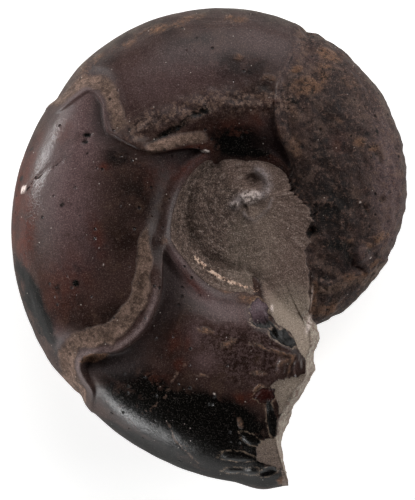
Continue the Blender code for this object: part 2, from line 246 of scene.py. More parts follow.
def distance_ahead(angle, radius, points, named_angle):
    """Distance in front of a lip as a share of the rim's distance, and the step depth of the lip near there.

    Angle and the logarithm of the radius are a flat map of the coil on which small shapes keep their form,
    so the distance to the lip's line on that map, times the radius, is the distance on the stone. The step
    depth is the mean along the lip, each place weighing by the fourth power of its nearness.
    """
    share, lip_angle, depth = lip_course(points)
    lip_rise = np.log(share) + GROWTH * lip_angle
    ahead = np.where(angle > named_angle, 1.0, -1.0)
    nearest_depth = np.zeros_like(radius)
    near = np.abs(angle - named_angle) < radians(62)
    turn = angle[near]
    rise = np.log(np.maximum(radius[near], 0.1 * MM) / RIM_RADIUS)
    nearest = np.full(turn.shape, 9.0)
    side = np.ones(turn.shape)
    weight_sum = np.zeros(turn.shape)
    depth_sum = np.zeros(turn.shape)
    for first in range(LIP_SAMPLES - 1):
        run_turn = lip_angle[first + 1] - lip_angle[first]
        run_rise = lip_rise[first + 1] - lip_rise[first]
        off_turn = turn - lip_angle[first]
        off_rise = rise - lip_rise[first]
        along = (off_turn * run_turn + off_rise * run_rise) / (run_turn ** 2 + run_rise ** 2)
        along = np.clip(along, 0.0, 1.0)
        distance = np.hypot(off_turn - along * run_turn, off_rise - along * run_rise)
        closer = distance < nearest
        nearest = np.where(closer, distance, nearest)
        side = np.where(closer, np.sign(off_turn * run_rise - off_rise * run_turn), side)
        weight = (distance + 0.006) ** -4.0
        weight_sum += weight
        depth_sum += weight * (depth[first] + along * (depth[first + 1] - depth[first]))
    ahead[near] = side * nearest * radius[near] / rim_radius(turn)
    nearest_depth[near] = depth_sum / weight_sum
    return ahead, nearest_depth


def constriction(ahead, depth, sunk, raised):
    """Relief across a lip as a share of the rim's distance, and how deep its recess is (about 0 to 1)."""
    furrow = -FURROW_DEPTH * hill(ahead + FURROW_SETBACK, FURROW_WIDTH)
    crest = LIP_HEIGHT * np.where(ahead < 0.0, hill(ahead, LIP_WIDTH), hill(ahead, 0.006))
    after = np.maximum(ahead, 0.0)
    fade = np.exp(-after / RECESS_LENGTH) * (1.0 - np.exp(-after / 0.008))
    return sunk * furrow + raised * crest - RECESS_DEPTH * depth * fade, depth * fade


def bend(nominal, share):
    """How far a column of the grid leads its nominal angle at a share of the rim's distance.

    At each lip it follows that lip, softened over a tenth of the rim's distance, and it is blended evenly
    between one lip and the next and towards both ends of the coil.
    """
    knots = [OLDEST_ANGLE] + [lip[1] for lip in LIPS] + [YOUNGEST_ANGLE]
    leads = [np.zeros_like(share)]
    for points, named_angle, *_ in LIPS:
        lip_share, lip_angle, _ = lip_course(points)
        lead = sum(np.interp(share + offset, lip_share, lip_angle) for offset in np.linspace(-0.05, 0.05, 7))
        leads.append(lead / 7.0 - named_angle)
    leads.append(np.zeros_like(share))
    result = np.zeros_like(share)
    for index in range(len(knots) - 1):
        part = np.clip((nominal - knots[index]) / (knots[index + 1] - knots[index]), 0.0, 1.0)
        inside = (nominal >= knots[index]) & (nominal < knots[index + 1] + 1e-9)
        mixed = (1.0 - part) * leads[index] + part * leads[index + 1]
        result = np.where(inside, mixed, result)
    return result


# The broken end.
# The younger end of the whorl is snapped off across a chamber wall: a rough, leaning face of grey sediment,
# with the dark lobes of the chamber wall's edge standing in pale sediment along its upper margin.
BREAK_RADII = np.array([0.0, 14.8, 16.0, 17.0, 18.7, 20.2, 21.3, 24.2, 25.1, 27.2, 29.6]) * MM
BREAK_ANGLES = np.radians([300.0, 299.6, 297.8, 294.4, 292.0, 286.9, 283.3, 278.6, 278.3, 278.3, 278.6])
BREAK_LEAN = radians(4)
BREAK_INNER = 14.8 * MM
BREAK_OUTER = 29.6 * MM

# Each lobe: middle x and y, half length and half width in millimetres, turn in degrees, height in
# millimetres, and its stone: purple, red, black, or plain where it is like the stone around it.
LOBES = (
    (1.30, -11.1, 1.20, 1.00, 100, 0.34, "purple"),
    (1.55, -12.4, 1.20, 0.42, -6, -0.16, "black"),
    (2.85, -13.4, 0.62, 0.46, 80, -0.28, "black"),
    (3.75, -13.5, 0.68, 0.50, 75, -0.30, "black"),
    (4.40, -14.2, 0.80, 0.50, -40, -0.30, "black"),
    (3.70, -14.1, 1.25, 0.36, -28, -0.22, "black"),
    (3.55, -16.9, 1.30, 0.58, 87, 0.26, "plain"),
    (5.20, -16.9, 1.25, 0.52, 84, 0.28, "plain"),
    (1.90, -19.7, 1.15, 0.75, 12, 0.22, "red"),
    (2.65, -22.4, 1.95, 0.52, -79, 0.18, "black"),
    (0.35, -24.2, 1.15, 0.52, -28, 0.14, "black"),
    (-1.00, -26.0, 1.75, 0.52, -6, 0.14, "black"),
    (-1.30, -27.5, 1.05, 0.30, 2, 0.10, "black"),
    (0.50, -27.6, 0.78, 0.38, 10, 0.12, "black"),
    (2.30, -27.6, 0.98, 0.46, 22, -0.22, "black"),
)
# The left edge of the pale sediment along the break: at each y below the axis, its x, in millimetres.
PALE_EDGE_DOWN = (9.6, 10.2, 11.8, 12.7, 13.1, 14.2, 15.1, 16.0, 17.6, 18.2, 18.8, 19.8, 20.8, 22.2, 23.9,
                  24.4, 25.2, 26.5, 26.9, 27.3, 29.5)
PALE_EDGE_X = (1.0, 2.2, 2.6, 3.2, 4.3, 4.9, 5.2, 5.9, 5.9, 2.9, 2.3, 2.8, 3.1, 3.3, 3.2,
               1.4, 0.9, 1.0, 2.2, 3.5, 3.6)


def break_angle(radius):
    """Angle of the break's upper edge, which stands back from the foot of the leaning face."""
    outline = np.interp(radius, BREAK_RADII, BREAK_ANGLES)
    inward = np.clip((BREAK_OUTER - radius) / (BREAK_OUTER - BREAK_INNER), 0.0, 1.0)
    return outline - BREAK_LEAN * inward


def lobe_relief(x, y):
    """Height of the lobes in millimetres, and for each stone a field that is above 0 inside its lobes."""
    relief = np.zeros_like(x)
    inside = {"purple": np.full_like(x, -1.0), "red": np.full_like(x, -1.0), "black": np.full_like(x, -1.0)}
    for middle_x, middle_y, half_length, half_width, turn, height, stone in LOBES:
        bearing = np.arctan2(y - middle_y, x - middle_x)
        waviness = 0.09 * np.sin(5.0 * bearing + 9.0 * middle_x)
        waviness += 0.07 * np.sin(9.0 * bearing + 4.0 * middle_y)
        field = 1.0 - oval(x, y, middle_x, middle_y, half_length, half_width, turn) + waviness
        relief += height * smooth_step(field / 0.55)
        if stone in inside:
            inside[stone] = np.maximum(inside[stone], field * half_width)
    return relief, inside


# The surface of the whole fossil, as one grid.
# Columns run once round the coil and then sweep across the break. Rows run from the upper pole, in the
# middle of the umbilicus, over the rim to the lower pole. Its normals carry the relief outwards.
COIL_COLUMNS = 412
FACE_COLUMNS = 36
UPPER_ROWS = (44, 98)
LOWER_ROWS = (20, 50)


def column_angles(columns):
    """Nominal angles of the columns, closer together at the lips and beside the break."""
    fine = np.linspace(OLDEST_ANGLE, YOUNGEST_ANGLE, 4000)
    density = np.ones_like(fine)
    for _, named_angle, *_ in LIPS:
        density += 2.4 * hill(fine - named_angle, radians(4.5))
    density += 0.8 * smooth_step((fine - radians(262)) / radians(15))
    travelled = np.concatenate([[0.0], np.cumsum(0.5 * (density[1:] + density[:-1]))])
    return np.interp(np.linspace(0.0, travelled[-1], columns), travelled, fine)


def radius_at(place, inner, outer):
    """Distance from the axis of a row, spaced closer towards the rim, where the section turns down."""
    along_fill = inner * (place + 1.0)
    eased = np.sin(0.5 * math.pi * np.clip(place, 0.0, 1.0)) ** 0.9
    return np.where(place < 0.0, along_fill, inner + (outer - inner) * eased)


def half_surface(fill_rows, flank_rows, upper):
    """One half of the grid: angle, distance from the axis, height, sediment, and share across the break."""
    fill_places = np.linspace(-1.0, 0.0, fill_rows + 1)
    flank_places = np.linspace(0.0, 1.0, flank_rows + 1)[1:]
    places = np.concatenate([fill_places, flank_places])[None, :]
    nominal = column_angles(COIL_COLUMNS)[:, None]
    nominal = nominal + 0.0 * places
    rough_radius = radius_at(places, fill_radius(nominal), rim_radius(nominal))
    end_share = smooth_step((nominal - radians(240)) / radians(50))
    towards_break = break_angle(rough_radius) - YOUNGEST_ANGLE
    angle = nominal + bend(nominal, rough_radius / rim_radius(nominal)) + end_share * towards_break
    radius = radius_at(places, fill_radius(angle), rim_radius(angle))
    height, sediment = surface_height(angle, radius, upper)

    share = np.linspace(0.0, 1.0, FACE_COLUMNS + 2)[1:-1, None]
    face_radius = (1.0 - share) * radius[-1:] + share * radius[:1]
    face_height = (1.0 - share) * height[-1:] + share * height[:1]
    face_angle = break_angle(face_radius) + BREAK_LEAN * share
    face_sediment = (1.0 - share) * sediment[-1:] + share * sediment[:1]
    on_face = np.concatenate([np.zeros_like(radius), share + 0.0 * face_radius])
    angle = np.concatenate([angle, face_angle])
    radius = np.concatenate([radius, face_radius])
    height = np.concatenate([height, face_height])
    sediment = np.concatenate([sediment, face_sediment])
    return angle, radius, height if upper else -height, sediment, on_face


def whole_surface():
    """Both halves joined along the rim, the lower one in reverse row order."""
    upper = half_surface(*UPPER_ROWS, upper=True)
    lower = half_surface(*LOWER_ROWS, upper=False)
    return [np.concatenate([top, bottom[:, -2::-1]], axis=1) for top, bottom in zip(upper, lower)]


def grid_normals(points):
    """Outward unit normals of a grid that closes on itself along its first axis."""
    along = np.roll(points, -1, axis=0) - np.roll(points, 1, axis=0)
    across = np.gradient(points, axis=1)
    normal = np.cross(across, along)
    return normal / np.maximum(np.linalg.norm(normal, axis=-1, keepdims=True), 1e-15)


def grain(points, size, seed):
    """Smooth random field from -1 to 1: values hashed at cube corners, blended with an eased mix."""
    cell = points / size
    corner = np.floor(cell).astype(np.int64)
    part = smooth_step(cell - corner)
    field = np.zeros(points.shape[:-1])
    for step_x in (0, 1):
        for step_y in (0, 1):
            for step_z in (0, 1):
                mixed = (corner[..., 0] + step_x) * 73856093 ^ (corner[..., 1] + step_y) * 19349663
                mixed = mixed ^ (corner[..., 2] + step_z) * 83492791 ^ seed * 2654435
                mixed = (mixed ^ (mixed >> 13)) * 1274126177 & 0x7FFFFFFF
                weight = np.abs(1 - step_x - part[..., 0]) * np.abs(1 - step_y - part[..., 1])
                weight = weight * np.abs(1 - step_z - part[..., 2])
                field += weight * ((mixed >> 8 & 0xFFFF) / 32767.5 - 1.0)
    return field


angle, radius, height, sediment, on_face = whole_surface()
points = np.stack([radius * np.cos(angle), radius * np.sin(angle), height], axis=-1)
plan_x, plan_y = points[..., 0] / MM, points[..., 1] / MM
is_upper = smooth_step((height / MM + 0.5) / 1.0)
on_coil = 1.0 - smooth_step(on_face / 0.03)
rim = rim_radius(angle)
across = place_across(angle, radius)
bare = smooth_step((radius - fill_radius(angle)) / (0.03 * rim))

# Relief of the constrictions, and what colours them. Mud fills much of a furrow on the flank, and none of
# it at the rim, where the raised edge has worn away.
carved, recess, furrow, slope_highlight, matt_wall = np.zeros((5, *radius.shape))
lip_gaps = []
share_out = radius / rim
lip_fade = 1.0 - smooth_step((share_out - 0.90) / 0.07)
lip_wander = grain(points, 1.3 * MM, 19) + 0.6 * grain(points, 0.6 * MM, 23)
for lip_points, named_angle, sunk, raised, mud, mud_from, slope_width in LIPS:
    ahead, step = distance_ahead(angle, radius, lip_points, named_angle)
    open_share = 0.42 + 0.58 * smooth_step((share_out - 0.84) / 0.08)
    begins = smooth_step((share_out - mud_from) / 0.08)
    relief, depth = constriction(ahead, step, sunk * open_share, raised * lip_fade * (0.3 + 0.7 * begins))
    carved += relief * rim
    recess = np.maximum(recess, depth)
    bare_slope = slope_width * (1.0 - 0.45 * smooth_step((share_out - 0.70) / 0.06))
    mud_band = smooth_step((0.050 - np.abs(ahead + bare_slope + 0.045 + 0.010 * lip_wander)) / 0.032)
    near_rim = smooth_step((share_out - 0.78) / 0.08)
    matt_wall = np.maximum(matt_wall, near_rim * hill(ahead + FURROW_SETBACK, 0.06))
    furrow = np.maximum(furrow, mud * mud_band * begins)
    # Painted highlight: the slope just behind each lip is laid lighter in the finish.
    gleam = smooth_step(slope_width / 0.03) * smooth_step((share_out - 0.44) / 0.08)
    slope_highlight = np.maximum(slope_highlight, gleam * hill(ahead + 0.014, 0.014))
    lip_gaps.append(ahead)
# The recess depth is kept for the finish, which paints the recesses dark as painted shade.
recess *= bare * on_coil
furrow *= bare * on_coil
slope_highlight *= bare * on_coil * lip_fade

# Relief at the broken end: the lobes, and the pale sediment that they stand in.
lobe_height, lobe_fields = lobe_relief(plan_x, plan_y)
lobe_height *= is_upper * on_coil
lobe_field = np.maximum(np.maximum(lobe_fields["purple"], lobe_fields["red"]), lobe_fields["black"])
pale_gap = plan_x - np.interp(-plan_y, PALE_EDGE_DOWN, PALE_EDGE_X)
pale_margin = smooth_step((pale_gap + 0.10 * grain(points, 0.8 * MM, 17)) / 0.3) * on_coil * is_upper
pale_rise = -plan_y + 0.35 * plan_x + 0.5 * grain(points, 1.2 * MM, 29)
pale_margin *= smooth_step((pale_rise - 9.6) / 2.4) * smooth_step((angle - radians(262)) / 0.1)

# Loose crust, chips, cracks and scratches on the upper flank.
DEBRIS_PATH = ((-11.4, 7.3), (-9.6, 8.5), (-7.8, 8.9), (-5.8, 9.7), (-3.7, 10.3), (0.0, 10.4), (4.1, 10.0))
DARK_GROOVE_PATH = ((-9.7, 5.9), (-8.6, 6.8), (-7.5, 7.3), (-6.4, 8.0), (-5.4, 8.9), (-3.8, 9.5))
TAN_RIDGE_PATH = ((-9.6, 5.5), (-8.0, 5.9), (-6.4, 6.4), (-4.6, 6.6))
CHIP_PATH = ((-5.2, -5.7), (-4.2, -6.6), (-3.2, -7.4), (-2.0, -8.0), (-0.8, -8.5), (1.1, -9.1))
CRACK_PATH = ((-22.6, 1.1), (-21.9, 2.1), (-21.3, 2.5), (-20.7, 3.1), (-20.2, 3.5), (-19.5, 3.7),
              (-18.8, 4.3))
SCRATCH_PATHS = (
    ((-6.0, -16.3), (-7.0, -17.4), (-7.8, -18.7), (-8.4, -20.1)),
    ((-10.8, -21.7), (-9.6, -21.2), (-9.0, -20.3)),
    ((-8.0, -22.6), (-7.3, -24.4), (-6.4, -25.3), (-5.5, -26.2), (-4.9, -26.8)),
    ((-9.4, 5.0), (-7.9, 3.6)),
)
TAN_LINE_PATHS = (
    ((4.85, -15.6), (4.45, -16.8), (4.15, -17.9)),
    ((0.8, -19.2), (1.4, -18.6), (2.0, -18.8)),
    ((0.2, -14.4), (1.8, -14.9), (3.4, -15.4), (5.0, -15.7)),
)


def band(path, width):
    """Bell-shaped band along a path on the upper flank, at a third of its height one width away."""
    return hill(path_distance(plan_x, plan_y, path), width) * is_upper


def patch(x, y, half_length, half_width, turn, reach, fade):
    """Oval patch on the upper flank: 0 from the reach outwards, and 1 once the fade inside it, in ovals."""
    return smooth_step((reach - oval(plan_x, plan_y, x, y, half_length, half_width, turn)) / fade) * is_upper


debris = band(DEBRIS_PATH, 1.05)
dark_groove = band(DARK_GROOVE_PATH, 0.34)
tan_ridge = band(TAN_RIDGE_PATH, 0.62)
chips = band(CHIP_PATH, 0.19)
crack = path_distance(plan_x, plan_y, CRACK_PATH) + 2.0 * (1.0 - is_upper)
scratch = np.max([band(path, 0.13) for path in SCRATCH_PATHS], axis=0)
tan_line = np.max([band(path, 0.17) for path in TAN_LINE_PATHS], axis=0) * on_coil
inner_arc = band(INNER_WHORL_PATH, 0.50)
inner_ring = band(INNER_RING_PATH, 0.18)
crust = patch(0.45, 0.50, 1.05, 0.75, 10, 1.3, 0.8)
crust = np.maximum(crust, patch(-1.15, -0.25, 0.35, 0.28, 40, 1.5, 0.9))
wall_part = smooth_step((angle - radians(122)) / 0.3) * smooth_step((radians(280) - angle) / 0.2)
wall_mud = smooth_step((shoulder_radius(angle) - radius - 0.25 * MM) / (0.55 * MM)) * wall_part
# Painted highlight along the umbilical shoulder, laid in with the slope highlight.
shoulder_highlight = hill((radius - shoulder_radius(angle) + 0.10 * MM) / MM, 0.42) * wall_part

# Bumps and pits: middle x and y, half length and half width in millimetres, turn, and height.
BUMPS = (
    (11.8, -5.5, 1.0, 0.8, 30, 0.3),
    (11.1, -5.9, 0.85, 0.24, 80, -0.22),
    (11.8, -7.1, 0.7, 0.22, -35, -0.2),
    (-16.2, 6.9, 0.4, 0.24, 0, -0.22),
    (-16.5, 6.2, 0.36, 0.22, 10, -0.18),
    (-15.6, 3.4, 0.45, 0.3, 40, -0.1),
    (13.4, 4.9, 0.42, 0.28, 0, -0.24),
    (13.8, 4.3, 0.26, 0.42, 5, -0.18),
    (14.0, 0.2, 0.42, 0.3, 0, -0.24),
    (12.2, -0.6, 0.24, 0.62, 30, -0.16),
    (6.6, -3.1, 0.6, 0.42, 50, -0.35),
    (-15.9, -16.3, 0.8, 0.34, 18, 0.1),
    (-22.8, 1.3, 0.46, 0.3, 60, 0.14),
    (2.6, -10.9, 0.58, 0.24, 85, 0.16),
    (6.6, -9.6, 1.8, 0.26, 85, 0.08),
)
BUMP_REACH = 1.35
BUMP_FADE = 0.9
bumps = sum(rise * patch(*place, BUMP_REACH, BUMP_FADE) for *place, rise in BUMPS)

# Weathering: the oldest third is rough and pitted, the middle block is smooth.
roughened = 1.0 - smooth_step((lip_gaps[1] + 0.02) / 0.06)
roughened = np.maximum(roughened, 0.75 * debris) * (1.0 - sediment)
mottled = patch(-0.8, -14.6, 5.6, 3.9, -32, 1.25, 0.6)
face_part = smooth_step(on_face / 0.03) * smooth_step((1.0 - on_face) / 0.05) * (1.0 - sediment)
swell = grain(points, 4.5 * MM, 3)
lump = grain(points, 1.7 * MM, 5)
gravel = grain(points, 0.75 * MM, 7)
grit = grain(points, 0.42 * MM, 11)
texture = 0.055 * swell + 0.026 * lump + 0.010 * gravel + bumps
# Each kind of rough surface, and how high its lumps, stones and grit stand, in millimetres.
for where, lumps, stones, grits in (
    (roughened, 0.08, 0.09, 0.05),
    (0.5 * mottled, 0.06, 0.05, 0.03),
    (sediment, 0.03, 0.035, 0.025),
    (face_part, 0.18, 0.15, 0.08),
    (debris, 0.0, 0.13, 0.07),
    (furrow, 0.0, 0.03, 0.02),
    (inner_arc, 0.0, 0.08, 0.0),
):
    texture += where * (lumps * lump + stones * gravel + grits * grit)
texture += 0.10 * debris + 0.14 * tan_ridge + 0.02 * furrow
texture -= 0.22 * dark_groove * (0.6 + 0.6 * np.abs(gravel))
texture += crust * (0.10 + 0.14 * np.abs(gravel) + 0.08 * grit)
texture += 0.18 * chips * (0.6 + 0.6 * gravel)
texture -= 0.08 * pale_margin * (1.0 - smooth_step(lobe_field / 0.15)) + 0.03 * pale_margin * gravel
texture -= 0.09 * hill(crack, 0.12) + 0.03 * scratch - 0.05 * tan_line
nicks = smooth_step((grain(points, 1.1 * MM, 13) - 0.45) / 0.4) * smooth_step((across - 0.8) / 0.15)
texture -= 0.12 * nicks * (0.4 + 0.6 * roughened) * on_coil

carried = carved * bare * on_coil + (lobe_height + texture) * MM
points = points + grid_normals(points) * carried[..., None]

# How it lies: tipped onto its lower flank, with small worn flats where it touches.
LEAN = radians(-5.5)
AXIS_PLACE = np.array([3.797, 4.732, 7.213]) * MM
lean = np.array(Matrix.Rotation(LEAN, 3, "X"))
settled = points @ lean.T + AXIS_PLACE
settled[..., 2] = np.maximum(settled[..., 2], 0.0)


def closed_skin(name, grid):
    """Mesh of a grid that closes on itself by columns, with a fan of triangles at each pole."""
    columns, rows = grid.shape[:2]
    rings = grid[:, 1:-1].transpose(1, 0, 2).reshape(-1, 3)
    corners = np.concatenate([grid[:1, 0], rings, grid[:1, -1]])
    number = 1 + np.arange((rows - 2) * columns).reshape(rows - 2, columns)
    onward = np.roll(number, -1, axis=1)
    quads = np.stack([number[:-1], number[1:], onward[1:], onward[:-1]], axis=-1).reshape(-1, 4)
    last = len(corners) - 1
    top_fan = np.stack([np.zeros(columns, int), number[0], onward[0]], axis=-1)
    bottom_fan = np.stack([np.full(columns, last), onward[-1], number[-1]], axis=-1)
    mesh = bpy.data.meshes.new(name)
    mesh.from_pydata(corners.tolist(), [], quads.tolist() + top_fan.tolist() + bottom_fan.tolist())
    mesh.shade_smooth()
    return mesh


def paint(mesh, name, field):
    """Store a field of the grid on the mesh's points, the poles first and last."""
    rings = field[:, 1:-1].T.reshape(-1)
    values = np.concatenate([[field[:, 0].mean()], rings, [field[:, -1].mean()]])
    layer = mesh.attributes.new(name, "FLOAT", "POINT")
    layer.data.foreach_set("value", values.astype(np.float32))


skin = closed_skin("ammonite_skin", settled)
ammonite = bpy.data.objects.new("ammonite_skin", skin)
scene.collection.objects.link(ammonite)

# Fields that the finish reads, painted on the skin. Each patch on the upper flank has its middle x and y,
# half length and half width in millimetres, turn in degrees, and strength.
# Purple patches: partly the stone's purple stain, partly a painted sheen on the left flank and the shoulders.
PURPLE_SHEEN_AND_STAIN_PATCHES = (
    (-16.9, 6.3, 5.6, 2.3, 80, 1.0), (-18.1, 0.8, 5.8, 2.6, 88, 1.0), (-17.6, -4.5, 3.2, 2.6, 90, 0.55),
    (-18.9, -14.0, 1.8, 1.0, -55, 0.5), (-6.5, 13.0, 7.5, 3.2, 14, 0.48),
    (2.5, 15.8, 4.5, 2.0, -20, 0.4), (-4.6, -9.3, 3.4, 0.8, -38, 1.0), (-7.0, -6.0, 1.6, 0.5, -48, 0.9),
    (-2.0, -11.0, 2.6, 1.2, -20, 0.75), (-4.3, -16.2, 1.2, 0.9, 0, 0.7), (-5.2, -13.4, 0.8, 1.3, 0, 0.6),
    (14.6, 1.5, 6.5, 1.5, -86, 0.75), (11.9, -5.6, 1.3, 1.0, 60, 0.6), (14.8, -2.6, 2.4, 0.8, 70, 0.5),
    (-10.5, -22.5, 4.5, 0.9, -36, 0.35),
)
RED_PATCHES = (
    (-22.6, -2.5, 5.0, 1.0, 84, 1.0), (-22.2, 4.0, 3.5, 0.6, 72, 0.8), (-18.7, 7.0, 1.3, 0.7, 70, 0.7),
    (-14.5, 3.7, 0.6, 0.4, 0, 0.8), (-15.3, -3.5, 0.7, 2.2, 15, 0.5), (-18.5, -8.5, 3.2, 2.4, 70, 0.45),
    (-7.0, 3.6, 2.6, 1.3, 25, 0.8), (-5.3, -8.7, 1.6, 0.5, -42, 0.8), (-7.3, -14.3, 1.3, 0.7, 75, 0.5),
    (-6.0, -14.2, 1.0, 0.4, 85, 0.5), (-6.8, -16.6, 0.9, 0.6, 50, 0.6), (0.4, -20.0, 2.4, 0.6, 8, 0.8),
    (-9.3, -18.3, 1.3, 0.8, 20, 0.5), (2.0, 6.8, 1.3, 2.4, 12, 0.8), (-1.0, 7.4, 2.6, 0.9, 0, 0.5),
    (9.6, 5.9, 1.0, 1.0, 0, 0.5), (15.2, 2.4, 0.6, 1.0, 0, 0.5), (-15.9, -16.2, 0.9, 0.32, 18, 1.0),
    (2.6, 10.3, 1.6, 0.3, -5, 0.5), (-6.9, 4.0, 3.0, 1.6, 25, 1.0), (-23.4, 2.0, 7.0, 0.7, 84, 1.0),
)
# Black patches: the small ones are real pits and spots; the broad ones on the lower flank, on the rim below
# the axis and on the inner top flank are painted shade.
BLACK_STAIN_AND_SHADE_PATCHES = (
    (-4.0, -22.6, 6.0, 2.8, -16, 1.3), (-9.6, -19.6, 4.6, 1.9, -36, 0.9),
    (-13.2, -17.4, 2.2, 0.9, -28, 1.0), (-7.4, -23.2, 7.0, 2.0, -28, 1.3),
    (-3.0, -26.2, 5.0, 1.3, -10, 1.3), (-12.6, -20.2, 3.0, 0.8, -42, 0.9),
    (-1.0, 14.2, 4.6, 1.7, -8, 0.4), (-4.5, 16.6, 3.0, 0.9, 8, 0.35), (1.8, 11.6, 1.8, 1.4, 0, 0.4),
    (-21.6, -10.6, 5.2, 1.0, -66, 0.9), (-9.0, -26.0, 7.5, 0.9, -28, 1.2),
    (0.0, -28.2, 4.5, 0.9, -6, 1.2), (-1.5, -25.4, 3.4, 1.2, -8, 0.8), (-11.5, 1.2, 2.6, 3.4, 10, 0.4),
    (-12.3, -3.0, 1.6, 3.0, 0, 0.28), (-13.2, 4.6, 1.7, 1.3, 0, 0.5), (0.6, 5.6, 4.2, 1.0, 0, 1.0),
    (-1.0, 6.6, 3.0, 1.4, 0, 0.7), (-14.0, -11.6, 2.4, 1.4, 15, 0.35), (-17.4, -8.3, 0.35, 0.3, 0, 1.0),
    (-19.3, -8.8, 0.45, 0.6, 0, 0.6), (-16.3, 6.9, 0.42, 0.22, 0, 1.0),
    (-16.5, 6.2, 0.34, 0.14, 10, 1.0), (-16.2, 5.0, 0.14, 0.16, 0, 1.0),
    (-18.8, -0.3, 0.25, 0.22, 0, 0.8), (-22.1, 5.6, 0.2, 0.28, 0, 0.9), (-23.1, 2.5, 0.2, 0.26, 0, 0.9),
    (8.6, -0.5, 3.0, 3.4, 0, 0.55), (7.6, 5.6, 1.2, 3.0, 10, 0.4), (9.6, -4.5, 2.0, 0.7, -12, 0.7),
    (10.6, -6.0, 0.5, 1.1, 10, 0.9), (12.6, -4.9, 0.7, 0.22, 50, 0.9), (13.4, 4.9, 0.34, 0.22, 0, 1.0),
    (13.8, 4.4, 0.16, 0.4, 5, 1.0), (12.9, 4.7, 0.3, 0.16, 50, 0.9), (13.4, 7.2, 0.14, 0.45, 25, 0.9),
    (14.1, 0.2, 0.34, 0.24, 0, 1.0), (13.8, 0.3, 0.22, 0.16, 0, 1.0), (12.2, -0.7, 0.14, 0.7, 30, 0.8),
    (6.9, -3.1, 0.75, 0.55, 50, 1.0), (7.9, -7.8, 0.9, 0.25, 0, 0.7), (5.6, 12.7, 0.3, 0.2, 0, 1.0),
    (4.8, 10.3, 0.8, 0.2, -12, 1.0), (0.4, 13.4, 0.8, 0.5, 20, 0.5), (4.6, 14.6, 0.1, 0.9, -22, 0.8),
    (-19.5, -15.5, 0.35, 0.12, -40, 0.8),
)
RUSTY_PATCHES = (
    (6.3, 11.9, 1.9, 1.0, 12, 1.0), (5.2, 13.6, 0.65, 0.35, 15, 1.0), (7.9, 13.3, 0.9, 1.4, -10, 0.9),
    (8.4, 15.1, 1.4, 0.6, -28, 1.0), (2.4, 12.7, 1.1, 0.4, -8, 0.5), (10.3, 12.6, 1.6, 0.8, -40, 0.5),
    (4.7, 9.0, 0.7, 1.5, 10, 0.5), (5.0, 5.6, 0.7, 1.4, 15, 0.6), (11.7, 6.2, 0.8, 0.55, 10, 0.8),
    (13.1, 5.5, 0.7, 0.35, 10, 0.9), (9.7, 8.2, 0.9, 0.3, -40, 0.6), (13.6, -3.8, 1.5, 0.55, 30, 1.0),
    (12.4, -7.5, 0.9, 0.3, 15, 0.8), (10.8, -7.8, 1.0, 0.6, 10, 0.7), (10.6, -4.0, 0.8, 0.3, 20, 0.6),
    (13.4, -6.3, 1.0, 0.25, 45, 0.6), (8.4, -11.0, 1.6, 0.6, 25, 1.0), (9.3, -10.7, 0.9, 0.35, 15, 0.6),
    (-15.8, 14.2, 2.2, 0.7, 35, 0.5), (-12.5, 16.1, 2.2, 0.5, 30, 0.5), (-8.0, 18.1, 4.2, 0.5, 18, 0.6),
    (-1.2, 18.8, 1.5, 0.6, 0, 0.6), (-0.8, 14.8, 0.6, 0.5, 0, 0.5), (-4.2, -13.1, 0.9, 0.35, -8, 0.9),
    (-2.4, -14.6, 1.2, 0.4, 15, 0.7), (-1.4, -14.1, 0.6, 0.3, 0, 0.7), (1.2, -17.5, 0.9, 0.3, 0, 0.8),
    (0.8, -14.6, 0.8, 0.3, 0, 0.7), (-4.5, -17.7, 0.8, 0.16, -4, 0.9), (0.4, -9.9, 1.8, 0.5, -12, 0.8),
    (-2.6, -8.6, 1.6, 0.5, -32, 0.6), (-0.6, -22.6, 0.3, 0.7, 15, 0.7), (2.5, -20.3, 0.7, 0.2, 20, 0.7),
    (3.6, -28.5, 0.6, 0.5, 0, 0.8), (-15.7, -16.0, 1.1, 0.48, 12, 1.6), (-8.4, -3.9, 0.6, 0.4, -40, 0.5),
    (6.9, -10.0, 2.2, 0.4, 84, 0.9), (4.0, -16.3, 1.3, 0.35, 20, 0.5), (2.3, -20.6, 0.6, 0.9, 0, 0.6),
)
# Cream scraps, and at (-4.2, 5.2) a painted glint on the inner tip of the third lip.
CREAM_SCRAPS_AND_GLINT = (
    (-22.8, 1.3, 0.38, 0.22, 60, 1.0), (2.6, -10.9, 0.55, 0.18, 85, 0.6),
    (6.7, -9.8, 1.8, 0.16, 85, 0.35), (6.4, -12.6, 1.2, 0.3, 75, 0.5),
    (11.7, -0.1, 0.12, 0.12, 0, 0.8), (12.9, -5.8, 0.12, 0.12, 0, 0.8), (-4.2, 5.2, 0.34, 0.2, 20, 0.9),
    (-14.6, -6.3, 0.12, 0.12, 0, 0.7), (-19.4, -9.9, 0.12, 0.12, 0, 0.7),
    (-3.3, -19.5, 0.12, 0.12, 0, 0.7),
)
fields = {}
for kind, patches in (
    ("purple_stain_and_sheen", PURPLE_SHEEN_AND_STAIN_PATCHES), ("red", RED_PATCHES), ("black", BLACK_STAIN_AND_SHADE_PATCHES), ("rust", RUSTY_PATCHES),
    ("cream_and_glint", CREAM_SCRAPS_AND_GLINT),
):
    strongest = np.zeros_like(radius)
    for *place, strength in patches:
        fading = np.exp(-0.8 * oval(plan_x, plan_y, *place) ** 2.6)
        strongest = np.maximum(strongest, strength * fading * is_upper)
    fields[kind] = strongest
# The dark groove above the third lip's tan ridge is painted black as well: painted shade in the groove.
fields["black"] = np.maximum(fields["black"], 1.1 * dark_groove)
fields["rust"] = np.maximum(fields["rust"], 0.8 * tan_line)
fields["sediment"] = np.maximum(np.maximum(sediment, wall_mud), pale_margin)
